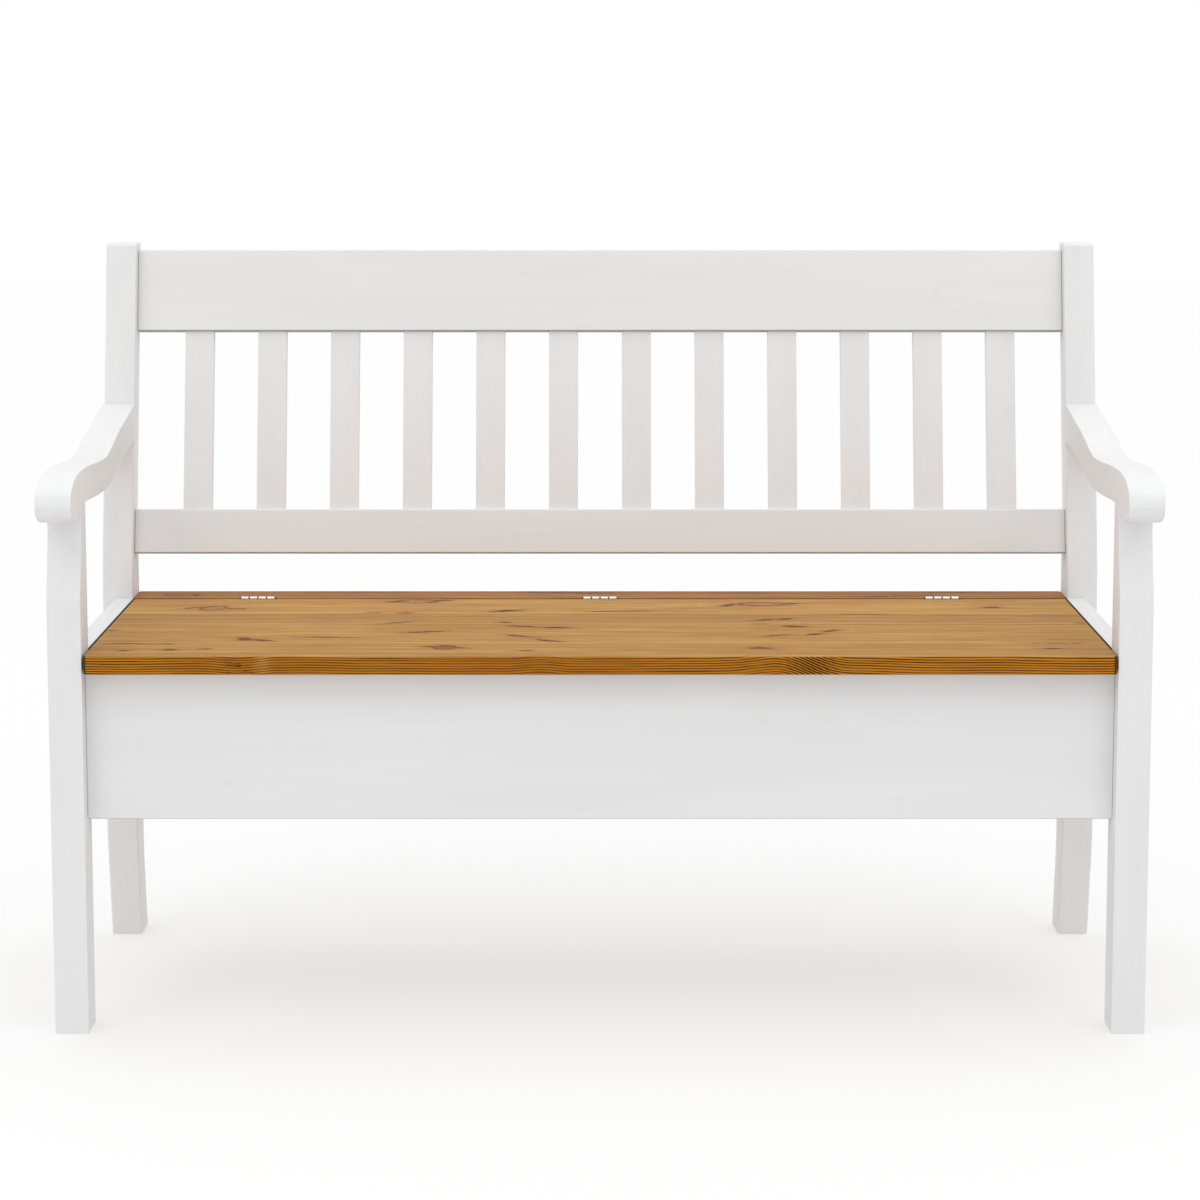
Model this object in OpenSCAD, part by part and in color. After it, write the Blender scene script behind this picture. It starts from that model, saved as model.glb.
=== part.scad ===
// Storage bench: two side frames with S-curved armrests carry a box under a hinged seat,
// and a slatted back stands between the raked rear posts.
//
// Millimetres, +Z up. Someone facing the bench sees +X on the right, and +Y runs from front to back.
// The origin is on the floor, under the middle of the overall box. Depths below are measured
// from the front face of the front legs, and mid_d moves them to the origin.

/* [Overall] */
// Width over the outer faces of the legs
bench_w = 1300; // [1100:10:1500]
// Height of the top of the seat above the floor
seat_h = 459; // [445:1:480]
// Height of the rear posts above the seat
back_h = 459; // [430:1:500]
// Depth from the front of the front legs to the front of the rear posts
post_at = 405; // [400:1:412]

/* [Legs and posts] */
// Width of legs and posts, across the bench
leg_w = 40; // [38:1:46]
// Depth of the front legs
leg_d = 50; // [48:1:56]
// Depth of the rear posts at the seat
post_d = 55; // [52:1:60]
// Depth of the rear posts at the floor
foot_d = 50; // [46:1:52]
// Lean of the back, and of the rear feet, from vertical (degrees)
lean = 11.3; // [9:0.1:13]
// Height of the shoulder where the front leg starts to curve in to the armrest, above the seat
shoulder_h = 61; // [50:1:70]
// How far the curve of the front leg steps back
shoulder_d = 19; // [12:1:20]

/* [Armrests] */
// Width of an armrest
arm_w = 42; // [40:1:50]

/* [Box] */
// Height of the lower edge of the box above the floor
box_z = 257; // [230:1:280]
// How far the front board is set back from the front of the legs
front_inset = 22; // [10:1:28]
// Thickness of the front and rear boards
board_t = 20; // [18:1:20]
// Thickness of the side boards
side_t = 24; // [20:1:28]
// Thickness of the bottom panel
panel_t = 8; // [5:1:12]
// Section of the cleats that carry the bottom panel
cleat = 20; // [16:1:24]
// Section of the corner blocks
corner = 28; // [24:1:32]

/* [Seat] */
// Thickness of the seat boards
lid_t = 22.7; // [20:0.1:24]
// How far the lid stands in front of the front legs
lid_nose = 5; // [0:1:12]
// Gap between the lid and the legs at each end
lid_gap = 2; // [1.5:0.5:4]
// Width of a batten under the lid
batten_w = 60; // [40:5:80]
// Thickness of a batten under the lid
batten_t = 18; // [15:1:20]
// Distance of the outer hinges from the middle of the bench
hinge_x = 446.5; // [380:0.5:470]

/* [Back] */
// Number of slats
slat_count = 12; // [8:1:14]
// Width of a slat
slat_w = 38; // [30:1:45]
// Thickness of a slat
slat_t = 12; // [10:1:12]
// Gap between a post and the first slat
slat_end_gap = 63; // [50:1:70]
// Thickness of the top and lower rails
rail_t = 20; // [18:1:20]
// Height of the top rail, along the lean
top_rail_h = 108; // [90:1:110]
// Height of the lower rail, along the lean
lower_rail_h = 58; // [50:1:70]

/* [Hinges] */
// Length of the barrel
hinge_l = 45; // [40:1:50]
// Radius of the barrel
barrel_r = 2.6; // [2.5:0.05:2.7]
// Number of knuckles in the barrel
knuckles = 4; // [4:1:5]
// Radius of the pin
pin_r = 1.3; // [1.2:0.05:1.4]

/* [Hidden] */
white = [0.90, 0.895, 0.885];
honey = [0.76, 0.57, 0.32];
pale_wood = [0.86, 0.76, 0.60];
steel = [0.72, 0.72, 0.70];

outer = bench_w / 2;                 // outer face of a leg
inner = outer - leg_w;               // inner face of a leg, and half the width between them
slope = tan(lean);                   // run of the raked parts for each unit of height
post_top = seat_h + back_h;
arc_steps = 6;                       // flats along a rounded stretch of an outline

// Rear post: where the front and rear faces bend, as heights above the floor
knee_z = 138;
knee_rear_z = knee_z - (post_d - foot_d) / slope;
waist_z = seat_h + 31;
waist_rear_z = seat_h + 111;
foot_front = post_at + slope * knee_z;
top_front = post_at + slope * (post_top - waist_z);
top_rear = post_at + post_d + slope * (post_top - waist_rear_z);
post_outline = rounded([
    [foot_front, 0, 0],
    [post_at, knee_z, 200],
    [post_at, waist_z, 290],
    [top_front, post_top, 6],
    [top_rear, post_top, 5],
    [post_at + post_d, waist_rear_z, 290],
    [post_at + post_d, knee_rear_z, 200],
    [foot_front + foot_d, 0, 0]]);

// Armrest, as depth and height above the seat: over the top to the nose, then back underneath
arm_nose = -50.5;
arm_top = [[470, 254], [400, 243], [307, 228], [231, 212], [180, 210], [60, 216],
           [-10, 213], [-43, 199], [arm_nose, 182]];
arm_under = [[arm_nose, 182], [-45, 170], [-30, 163], [-10, 160], [20, 168], [60, 174],
             [171, 170], [244, 173], [320, 188], [400, 199], [470, 206]];
arm_outline = [for (p = concat(spline(arm_top), spline(arm_under))) [p[0], p[1] + seat_h]];

// Front leg: straight to the shoulder, then a curve that steps back under the armrest
shoulder_z = seat_h + shoulder_h;
leg_outline = concat(
    [[0, 0]],
    bezier([0, shoulder_z], [3, shoulder_z + 22], [shoulder_d - 3, shoulder_z + 52],
           [shoulder_d, shoulder_z + 92]),
    [[shoulder_d, seat_h + 200], [leg_d, seat_h + 200], [leg_d, 0]]);
tenon_in = [10, 6];                  // leg tenon inside the sides, and inside the front and back
tenon_z = [shoulder_z + 80, seat_h + 193];

// Depth of the origin, midway between the noses of the armrests and the backs of the posts
mid_d = (min([for (p = arm_outline) p[0]]) + max([for (p = post_outline) p[0]])) / 2;

// Box and seat
lid_rest = seat_h - lid_t - 0.3;     // top of the front board, just under the lid
block_drop = 26;                     // corner blocks stop this far below the lid, clear of the battens
front_back = front_inset + board_t;  // rear face of the front board
rear_front = post_at + 10;           // front face of the rear board
cleat_z = box_z + 2;
panel_z = cleat_z + cleat;
corner_z = [panel_z + panel_t, lid_rest - block_drop];
lid_back = post_at - 5;              // rear face of the lid
rail_front = lid_back + 2;           // front face of the hinge rail
rail_bottom = seat_h - 23;
batten_span = [60, lid_back - 20];   // depth that the battens cover
batten_x = [-1, 0, 1] * 0.787 * inner;

// Back
rail_recess = [15, 11];              // top and lower rail behind the front of the posts
top_rail_z = seat_h + 344;
lower_rail_z = seat_h + 57;
slat_recess = 4.5;                   // slats behind the front of the rails
housing = 12;                        // how far slats enter the rails
lower_edge = [post_front(lower_rail_z) + rail_recess[1], lower_rail_z];
top_edge = [post_front(top_rail_z) + rail_recess[0], top_rail_z];
slat_foot = lower_edge + lower_rail_h * [sin(lean), cos(lean)] + [slat_recess, 0];
slat_head = top_edge + [slat_recess, 0];
slat_lean = atan2(slat_head[0] - slat_foot[0], slat_head[1] - slat_foot[1]);
slat_l = norm(slat_head - slat_foot);
slat_pitch = (2 * inner - 2 * slat_end_gap - slat_w) / (slat_count - 1);
tenon_l = 22;                        // tenons of the rails in the posts
tenon_trim = [4, 12];                // rail tenon inside the faces, and inside the edges
fit = 0.2;                           // glue gap round a tenon

// Hinges
axis_d = lid_back + 1;
axis_z = seat_h + 0.3;
hinge_at = [-hinge_x, 0, hinge_x];
leaf_t = 1.4;
leaf_off = 0.3;                      // gap from the axis to the near face of a leaf
leaf_h = 22;                         // from the axis to the lower edge of a leaf
leaf_clear = barrel_r + 0.4;         // plain edge of a leaf, below the axis
knuckle_gap = 0.8;
knuckle_l = hinge_l / knuckles;
pin_play = 0.05;
pin_head = [0.6, 0.7];               // how far a pin's head stands out round it, and its thickness
head_off = 0.2;                      // gap between a pin's head and the barrel
notch_l = hinge_l + 5;
notch_r = barrel_r + 0.6;            // depth of the notch in front of and behind the axis
notch_h = barrel_r + 0.9;            // depth of the notch below the axis

// Dowels: radius and length, then their middles as [x, depth, height, turn], right-hand side only
dowel_r = 4;
dowel_l = 40;
along_x = [0, 90, 0];
along_y = [90, 0, 0];
along_z = [0, 0, 0];
side_dowel_z = [box_z + 23, box_z + 93, lid_rest - 6];
side_dowels = [for (z = side_dowel_z, d = [leg_d, post_at]) [inner + side_t / 2, d, z, along_y]];
board_dowels = [for (f = [0.19, 0.92], d = [front_inset + board_t / 2, rear_front + board_t / 2])
    [inner, d, between(corner_z, f), along_x]];
arm_dowel_z = [seat_h + 218, seat_h + 238];
arm_dowels = [for (z = arm_dowel_z) [inner + leg_w / 2, post_front(z), z, along_y]];
rail_dowels = [for (x = [0.29, 0.85] * inner)
    [x, rear_front + board_t / 2, rail_bottom - 6, along_z]];

// Screws: [length, shank radius, head radius, head height], and the length of the point
wood_screw = [38, 2, 4, 2.2];
batten_screw = [32, 2, 4, 2.2];
hinge_screw = [16, 1.5, 2.8, 1.2];
point_l = 4;
into_x = [0, 90, 0];
to_front = [90, 0, 0];
to_back = [-90, 0, 0];
upward = [0, 0, 0];
corner_screws = concat(
    [for (f = [0.4, 0.7]) each [
        [inner - corner / 2, front_back + corner, between(corner_z, f), to_front],
        [inner - corner / 2, rear_front - corner, between(corner_z, f), to_back]]],
    [for (f = [0.23, 0.88], d = [front_back + corner / 2, rear_front - corner / 2])
        [inner - corner, d, between(corner_z, f), into_x]]);
cleat_mid_z = cleat_z + cleat / 2;
side_cleat = [front_back + cleat, rear_front - cleat];
long_cleat_screws = [for (x = [0.2, 0.8] * inner)
    each [[x, side_cleat[0], cleat_mid_z, to_front], [x, side_cleat[1], cleat_mid_z, to_back]]];
side_cleat_screws = [for (f = [0.2, 0.5, 0.8])
    [inner - cleat, between(side_cleat, f), cleat_mid_z, into_x]];
batten_screws = [for (x = batten_x, f = [1, 4, 7] / 8)
    [x, between(batten_span, f), seat_h - lid_t - batten_t, upward]];
leaf_screw_x = 14;
leaf_screw_z = axis_z - 13;
lid_hinge_screws = [for (x = hinge_at, s = [-1, 1])
    [x + s * leaf_screw_x, axis_d - leaf_off, leaf_screw_z, to_front]];
frame_hinge_screws = [for (x = hinge_at, s = [-1, 1])
    [x + s * leaf_screw_x, axis_d + leaf_off, leaf_screw_z, to_back]];

sides = [["left", -1], ["right", 1]];
thirds = ["left", "centre", "right"];
function slat_name(i) = str("back_slat_", i < 9 ? "0" : "", i + 1);

// ---- outline helpers ----

function unit(v) = v / norm(v);
function xy(p) = [p[0], p[1]];
function span(a, b) = [min(a, b), max(a, b)];
function between(ends, f) = ends[0] + f * (ends[1] - ends[0]);

// Depth of the raked front face of the posts at height z
function post_front(z) = post_at + slope * (z - waist_z);

// Points of the arc of radius r that rounds corner q between neighbours p and s
function arc(p, q, s, r) =
    let (a = unit(p - q), b = unit(s - q), half = acos(a * b) / 2,
         c = q + unit(a + b) * r / sin(half),
         from = q + a * r / tan(half) - c, to = q + b * r / tan(half) - c,
         a0 = atan2(from[1], from[0]), raw = atan2(to[1], to[0]) - a0,
         sweep = raw > 180 ? raw - 360 : raw < -180 ? raw + 360 : raw)
    [for (i = [0 : arc_steps]) c + r * [cos(a0 + sweep * i / arc_steps), sin(a0 + sweep * i / arc_steps)]];

// Closed outline from [x, y, radius] corners
function rounded(pts) =
    let (n = len(pts))
    [for (i = [0 : n - 1]) each pts[i][2] == 0 ? [xy(pts[i])]
        : arc(xy(pts[(i + n - 1) % n]), xy(pts[i]), xy(pts[(i + 1) % n]), pts[i][2])];

// Smooth curve through a list of points
function blend(a, b, c, d, t) =
    0.5 * (2 * b + (c - a) * t + (2 * a - 5 * b + 4 * c - d) * t * t + (3 * b - a - 3 * c + d) * t * t * t);
function spline(p) =
    let (n = len(p))
    [for (i = [0 : n - 2], k = [0 : arc_steps - 1])
        blend(p[max(i - 1, 0)], p[i], p[i + 1], p[min(i + 2, n - 1)], k / arc_steps)];

// Cubic curve from a to d with handles b and c
function bezier(a, b, c, d) =
    [for (i = [0 : 2 * arc_steps]) let (t = i / (2 * arc_steps), u = 1 - t)
        u * u * u * a + 3 * u * u * t * b + 3 * u * t * t * c + t * t * t * d];

// ---- shared shapes ----

// Extrudes a [depth, height] outline across the bench, from x0 to x1
module across(x0, x1) translate([x0, -mid_d, 0]) rotate([90, 0, 90]) linear_extrude(x1 - x0) children();

// A squared piece between two values of x, depth and height
module board(x, d, z) translate([x[0], d[0] - mid_d, z[0]])
    cube([x[1] - x[0], d[1] - d[0], z[1] - z[0]]);

// Draws right-hand pieces on side s, 1 for the right and -1 for the left
module side(s) mirror([s < 0 ? 1 : 0, 0, 0]) children();

module both_sides() for (s = [-1, 1]) side(s) children();

// Dowels of a list. play widens and lengthens them into their holes
module dowels(list, play = 0) for (p = list)
    translate([p[0], p[1] - mid_d, p[2]]) rotate(p[3])
        cylinder(h = dowel_l + 10 * play, r = dowel_r + play, center = true, $fn = 48);

// One countersunk screw, head at the origin and point along +Z, with a cross recess in its head
module screw(size, play) {
    arm = [size[2], 0.32 * size[2], 0.6 * size[3]];
    difference() {
        rotate_extrude($fn = 32) polygon([
            [0, 0], [size[2] + play, 0], [size[1] + play, size[3] + play],
            [size[1] + play, size[0] - point_l], [0, size[0] + play]]);
        if (play == 0) for (turn = [0, 90]) rotate(turn) translate([-arm[0] / 2, -arm[1] / 2, -1])
            cube(arm + [0, 0, 1]);
    }
}

// Screws of a list. play opens them into their holes
module screws(list, size, play = 0) for (p = list)
    translate([p[0], p[1] - mid_d, p[2]]) rotate(p[3]) screw(size, play);

// Section of a raked rail: its lower front edge, its height and the trim of a tenon on each side
module rail_section(edge, h, trim = [0, 0]) translate(edge) rotate(-lean)
    translate(trim) square([rail_t, h] - 2 * trim);

// A rail between the posts, with a tenon at each end
module rail(edge, h) {
    across(-inner, inner) rail_section(edge, h);
    across(-inner - tenon_l, inner + tenon_l) rail_section(edge, h, tenon_trim);
}

module rail_mortise(edge, h) across(inner - 1, inner + tenon_l + 1)
    rail_section(edge, h, tenon_trim - [fit, fit]);

// Section of a slat, seen from the side
module slat_section(play = 0) translate(slat_foot) rotate(-slat_lean)
    translate([-play, -housing - play]) square([slat_t + 2 * play, slat_l + 2 * housing + 2 * play]);

function slat_x(i) = (i - (slat_count - 1) / 2) * slat_pitch;

module slat_housings() for (i = [0 : slat_count - 1])
    across(slat_x(i) - slat_w / 2 - fit, slat_x(i) + slat_w / 2 + fit) slat_section(fit);

// ---- side frames ----

module arm_blank() across(inner, inner + arm_w) polygon(arm_outline);

module leg_tenon(play = 0) board(
    [inner + tenon_in[0] - play, outer - tenon_in[0] + play],
    [shoulder_d + tenon_in[1] - play, leg_d - tenon_in[1] + play],
    tenon_z + [0, play]);

module front_leg(s) color(white) side(s) difference() {
    union() {
        difference() {
            across(inner, outer) polygon(leg_outline);
            arm_blank();
        }
        leg_tenon();
    }
    dowels(side_dowels, 0.1);
    dowels(board_dowels, 0.1);
}

module rear_post(s) color(white) side(s) difference() {
    across(inner, outer) polygon(post_outline);
    rail_mortise(top_edge, top_rail_h);
    rail_mortise(lower_edge, lower_rail_h);
    dowels(side_dowels, 0.1);
    dowels(board_dowels, 0.1);
    dowels(arm_dowels, 0.1);
}

module armrest(s) color(white) side(s) difference() {
    arm_blank();
    across(inner - 1, inner + arm_w + 1) polygon(post_outline);
    leg_tenon(fit);
    dowels(arm_dowels, 0.1);
}

// ---- box ----

module side_board(s) color(white) side(s) difference() {
    board([inner, inner + side_t], [leg_d, post_at], [box_z, seat_h]);
    dowels(side_dowels, 0.1);
    screws(corner_screws, wood_screw, 0.05);
    screws(side_cleat_screws, wood_screw, 0.05);
}

module front_board() color(white) difference() {
    board([-inner, inner], [front_inset, front_back], [box_z, lid_rest]);
    both_sides() {
        dowels(board_dowels, 0.1);
        screws(corner_screws, wood_screw, 0.05);
        screws(long_cleat_screws, wood_screw, 0.05);
    }
}

module rear_board() color(white) difference() {
    board([-inner, inner], [rear_front, rear_front + board_t], [box_z, rail_bottom]);
    both_sides() {
        dowels(board_dowels, 0.1);
        dowels(rail_dowels, 0.1);
        screws(corner_screws, wood_screw, 0.05);
        screws(long_cleat_screws, wood_screw, 0.05);
    }
}

module bottom_panel() color(pale_wood)
    board([-inner + 0.5, inner - 0.5], [front_back + 0.5, rear_front - 0.5], [panel_z, panel_z + panel_t]);

// Cleat along the front board or the rear board
module long_cleat(d) color(white) difference() {
    board([-inner, inner], [d, d + cleat], [cleat_z, panel_z]);
    both_sides() screws(long_cleat_screws, wood_screw, 0.05);
}

module side_cleat(s) color(white) side(s) difference() {
    board([inner - cleat, inner], side_cleat, [cleat_z, panel_z]);
    screws(side_cleat_screws, wood_screw, 0.05);
}

module corner_block(s, d) color(white) side(s) difference() {
    board([inner - corner, inner], [d, d + corner], corner_z);
    screws(corner_screws, wood_screw, 0.05);
}

// ---- seat ----

// Recesses for the hinges along one edge: dir is -1 for the lid and 1 for the hinge rail
module hinge_recesses(dir) for (x = hinge_at) {
    far = axis_d + dir * notch_r;
    bed = axis_d + dir * (leaf_off + leaf_t);
    board([x - notch_l / 2, x + notch_l / 2], span(axis_d, far), [axis_z - notch_h, seat_h + 1]);
    board([x - hinge_l / 2 - 0.1, x + hinge_l / 2 + 0.1], span(axis_d, bed),
          [axis_z - leaf_h - 0.1, seat_h]);
}

module hinge_rail() color(honey) difference() {
    board([-inner, inner], [rail_front, post_at + post_d + 1], [rail_bottom, seat_h]);
    hinge_recesses(1);
    screws(frame_hinge_screws, hinge_screw, 0.05);
    both_sides() dowels(rail_dowels, 0.1);
}

module seat_lid() color(honey) difference() {
    board([-inner + lid_gap, inner - lid_gap], [-lid_nose, lid_back], [seat_h - lid_t, seat_h]);
    hinge_recesses(-1);
    screws(lid_hinge_screws, hinge_screw, 0.05);
    screws(batten_screws, batten_screw, 0.05);
}

module lid_batten(i) color(honey) difference() {
    board([batten_x[i] - batten_w / 2, batten_x[i] + batten_w / 2], batten_span,
          [seat_h - lid_t - batten_t, seat_h - lid_t]);
    screws(batten_screws, batten_screw, 0.05);
}

// ---- back ----

module top_rail() color(white) difference() {
    rail(top_edge, top_rail_h);
    slat_housings();
}

module lower_rail() color(white) difference() {
    rail(lower_edge, lower_rail_h);
    slat_housings();
}

module back_slat(i) color(white)
    across(slat_x(i) - slat_w / 2, slat_x(i) + slat_w / 2) slat_section();

// ---- hinges ----

// One leaf with every second knuckle. dir is -1 for the lid leaf and 1 for the frame leaf
module hinge_leaf(i, dir) color(steel) difference() {
    start = hinge_at[i] - hinge_l / 2;
    depths = span(axis_d + dir * leaf_off, axis_d + dir * (leaf_off + leaf_t));
    union() {
        board([start, start + hinge_l], depths, [axis_z - leaf_h, axis_z - leaf_clear]);
        for (k = [(dir < 0 ? 0 : 1) : 2 : knuckles - 1]) {
            ends = [start + knuckle_l * k + knuckle_gap / 2, start + knuckle_l * (k + 1) - knuckle_gap / 2];
            board(ends, depths, [axis_z - leaf_clear - 1, axis_z]);
            translate([ends[0], axis_d - mid_d, axis_z]) rotate([0, 90, 0])
                cylinder(h = ends[1] - ends[0], r = barrel_r, $fn = 64);
        }
    }
    translate([start - 1, axis_d - mid_d, axis_z]) rotate([0, 90, 0])
        cylinder(h = hinge_l + 2, r = pin_r + pin_play, $fn = 48);
    screws(dir < 0 ? lid_hinge_screws : frame_hinge_screws, hinge_screw, 0.05);
}

// Pin with a flat head just clear of each end of the barrel
module hinge_pin(i) color(steel) translate([hinge_at[i], axis_d - mid_d, axis_z]) rotate([0, 90, 0]) {
    cylinder(h = hinge_l + 2 * head_off + 2 * pin_head[1], r = pin_r, center = true, $fn = 48);
    for (s = [-1, 1]) translate([0, 0, s * (hinge_l + 2 * head_off + pin_head[1]) / 2])
        cylinder(h = pin_head[1], r = pin_r + pin_head[0], center = true, $fn = 48);
}

for (s = sides) {
    front_leg(s[1]);
    rear_post(s[1]);
    armrest(s[1]);
    side_board(s[1]);
    side_cleat(s[1]);
    corner_block(s[1], front_back);
    corner_block(s[1], rear_front - corner);
}
front_board();
rear_board();
bottom_panel();
long_cleat(front_back);  // cleat_front
long_cleat(rear_front - cleat);  // cleat_rear
top_rail();
lower_rail();
for (i = [0 : slat_count - 1])
    back_slat(i);
hinge_rail();
seat_lid();
for (i = [0 : len(thirds) - 1]) {
    lid_batten(i);
    hinge_leaf(i, 1);
    hinge_leaf(i, -1);
    hinge_pin(i);
}
color(pale_wood) both_sides() dowels(side_dowels);  // side_frame_dowels
color(pale_wood) both_sides() dowels(board_dowels);  // box_dowels
color(pale_wood) both_sides() dowels(arm_dowels);  // armrest_dowels
color(pale_wood) both_sides() dowels(rail_dowels);  // hinge_rail_dowels
color(steel) both_sides() screws(corner_screws, wood_screw);  // corner_block_screws
color(steel) both_sides() {  // cleat_screws
    screws(long_cleat_screws, wood_screw);
    screws(side_cleat_screws, wood_screw);
}
color(steel) screws(batten_screws, batten_screw);
color(steel) screws(frame_hinge_screws, hinge_screw);  // hinge_frame_screws
color(steel) screws(lid_hinge_screws, hinge_screw);  // hinge_lid_screws
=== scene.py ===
"""Storage bench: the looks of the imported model.

Metres, in the frame of the CAD model: +X right, +Y back, +Z up, origin on the floor. Legs, posts, arms,
boards, rails, slats, cleats, blocks, battens and the panel are rebuilt as prisms with eased edges, on the
outline or the box of their CAD node. Hinges, screws and dowels keep their CAD shape.
"""

import math

import bmesh
import bpy
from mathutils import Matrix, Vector


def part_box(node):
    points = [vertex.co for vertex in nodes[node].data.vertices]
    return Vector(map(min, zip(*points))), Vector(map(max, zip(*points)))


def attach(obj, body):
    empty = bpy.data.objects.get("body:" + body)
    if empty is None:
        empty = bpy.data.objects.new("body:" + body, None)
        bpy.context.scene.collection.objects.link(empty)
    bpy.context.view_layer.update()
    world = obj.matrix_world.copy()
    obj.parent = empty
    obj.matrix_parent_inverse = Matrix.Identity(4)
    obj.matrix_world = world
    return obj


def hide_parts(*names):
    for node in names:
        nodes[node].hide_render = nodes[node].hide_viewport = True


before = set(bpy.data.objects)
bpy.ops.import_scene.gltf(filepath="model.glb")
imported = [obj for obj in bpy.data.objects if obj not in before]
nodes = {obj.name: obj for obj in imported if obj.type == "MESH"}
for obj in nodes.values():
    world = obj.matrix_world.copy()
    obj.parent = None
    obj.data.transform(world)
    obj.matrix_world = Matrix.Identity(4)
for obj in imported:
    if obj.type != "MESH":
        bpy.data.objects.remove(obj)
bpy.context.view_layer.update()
MM = 0.001

SIDE_FRAME = ("front_leg", "rear_post", "armrest")
SIDES = ("left", "right")
THIRDS = ("left", "centre", "right")
SLATS = sorted(n for n in nodes if n.startswith("back_slat_"))


# ---- shader helpers ----

class Shader:
    """Builds one node material. All methods but put and finish add nodes and return outputs."""

    def __init__(self, name):
        self.material = bpy.data.materials.new(name)
        self.material.use_nodes = True
        self.tree = self.material.node_tree
        self.bsdf = self.tree.nodes["Principled BSDF"]
        coords = self.tree.nodes.new("ShaderNodeTexCoord")
        self.normal = coords.outputs["Normal"]
        # Object coordinates in millimetres
        self.place = self.vector("SCALE", coords.outputs["Object"], scale=1000.0)

    def put(self, socket, value):
        if isinstance(value, bpy.types.NodeSocket):
            self.tree.links.new(value, socket)
        elif value is not None:
            socket.default_value = value

    def math(self, operation, a, b=None, c=None, clamp=False):
        node = self.tree.nodes.new("ShaderNodeMath")
        node.operation, node.use_clamp = operation, clamp
        for socket, value in zip(node.inputs, (a, b, c)):
            self.put(socket, value)
        return node.outputs[0]

    def vector(self, operation, a, b=None, scale=None):
        node = self.tree.nodes.new("ShaderNodeVectorMath")
        node.operation = operation
        self.put(node.inputs[0], a)
        self.put(node.inputs[1], b)
        if scale is not None:
            self.put(node.inputs["Scale"], scale)
        return node.outputs["Value" if operation in ("LENGTH", "DOT_PRODUCT") else "Vector"]

    def split(self, vector):
        node = self.tree.nodes.new("ShaderNodeSeparateXYZ")
        self.put(node.inputs[0], vector)
        return node.outputs

    def join(self, x, y, z):
        node = self.tree.nodes.new("ShaderNodeCombineXYZ")
        for socket, value in zip(node.inputs, (x, y, z)):
            self.put(socket, value)
        return node.outputs[0]

    def noise(self, vector, scale=1.0, detail=2.0, roughness=0.5):
        """Smooth noise from 0 to 1, centred on 0.5."""
        node = self.tree.nodes.new("ShaderNodeTexNoise")
        self.put(node.inputs["Vector"], vector)
        self.put(node.inputs["Scale"], scale)
        self.put(node.inputs["Detail"], detail)
        self.put(node.inputs["Roughness"], roughness)
        return node.outputs["Fac"]

    def ease(self, value, low, high, to_low=0.0, to_high=1.0):
        """Smooth step of value from low to high."""
        node = self.tree.nodes.new("ShaderNodeMapRange")
        node.interpolation_type = "SMOOTHSTEP"
        for key, setting in (("Value", value), ("From Min", low), ("From Max", high),
                             ("To Min", to_low), ("To Max", to_high)):
            self.put(node.inputs[key], setting)
        return node.outputs[0]

    def bell(self, value, centre, half_width):
        """1 at centre, falling to 0 at half_width on either side."""
        away = self.math("ABSOLUTE", self.math("SUBTRACT", value, centre))
        return self.ease(away, 0.0, half_width, 1.0, 0.0)

    def mix(self, factor, a, b, blend="MIX"):
        node = self.tree.nodes.new("ShaderNodeMix")
        node.data_type, node.blend_type = "RGBA", blend
        self.put(node.inputs["Factor"], factor)
        for socket, value in ((node.inputs[6], a), (node.inputs[7], b)):
            self.put(socket, (*value, 1.0) if isinstance(value, tuple) else value)
        return node.outputs[2]

    def stretch(self, vector, x, y, z):
        return self.vector("MULTIPLY", vector, (x, y, z))

    def finish(self, color, height, bump, distance, roughness, **fixed):
        node = self.tree.nodes.new("ShaderNodeBump")
        node.inputs["Strength"].default_value = bump
        node.inputs["Distance"].default_value = distance
        self.put(node.inputs["Height"], height)
        self.put(self.bsdf.inputs["Normal"], node.outputs[0])
        self.put(self.bsdf.inputs["Base Color"], color)
        self.put(self.bsdf.inputs["Roughness"], roughness)
        for name, value in fixed.items():
            self.bsdf.inputs[name.replace("_", " ")].default_value = value
        return self.material


# ---- materials ----

def along(shader, axis, length, across):
    """Coordinates stretched for grain: long features along axis (0, 1 or 2), short ones across it."""
    scales = [1.0 / across] * 3
    scales[axis] = 1.0 / length
    return shader.stretch(shader.place, *scales)


# Painted shadow: the dark line at the top of the side boards' inner faces, for the shade in the gap beside
# the lid's ends: limits in x and z in mm, and its colour
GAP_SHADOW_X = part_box("side_board_right")[0][0] / MM + 1.2
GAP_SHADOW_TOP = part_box("side_board_right")[1][2] / MM
GAP_SHADOW_COLOR = (0.055, 0.027, 0.013)
# Painted shade: colour of the undersides and lower arrises of what runs along x
UNDERSIDE_SHADE = (0.260, 0.250, 0.245)


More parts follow.
